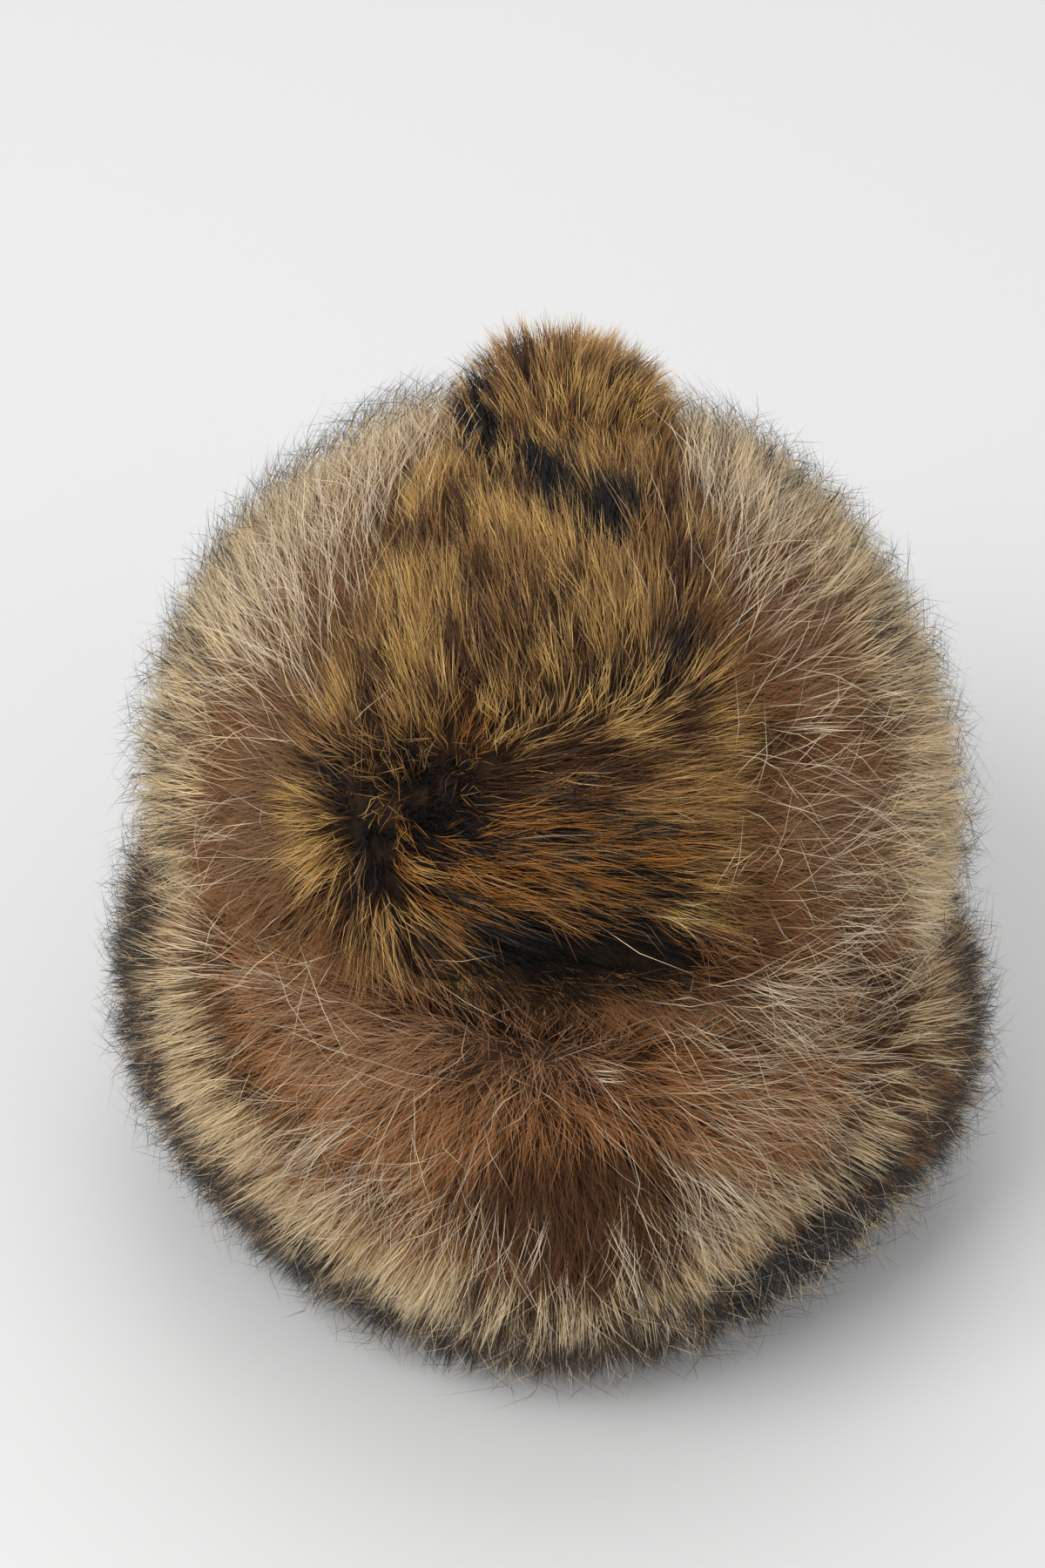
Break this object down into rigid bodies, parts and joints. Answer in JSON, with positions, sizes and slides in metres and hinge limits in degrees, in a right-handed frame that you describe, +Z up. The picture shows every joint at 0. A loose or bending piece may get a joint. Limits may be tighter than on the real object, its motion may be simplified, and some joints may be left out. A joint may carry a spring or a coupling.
{
  "type": "fur hat",
  "caption": "Domed fur hat with a deep long-haired fur cuff, standing on its rim, with a marked short-haired strip over the crown and an open leather hollow for the head.",
  "frame": {"origin": "middle of the bottom of the whole hat, on the surface that it stands on", "axes": "+Z up through the crown, -Y toward the side with the strip's overhanging lip, +X to the right seen from there"},
  "size_m": [0.3148, 0.3186, 0.2904],
  "materials": {
    "leather": "matt tanned skin",
    "long_fur": "long soft brown fur with cream bands and black tips",
    "short_fur": "short glossy tan fur with black marks",
    "cuff_fur": "long soft brown fur with a cream band and black tips"
  },
  "bodies": {
    "root": {"crown": "leather", "crown_fur": "long_fur", "crown_strip": "short_fur", "cuff": "cuff_fur"}
  },
  "joints": []
}
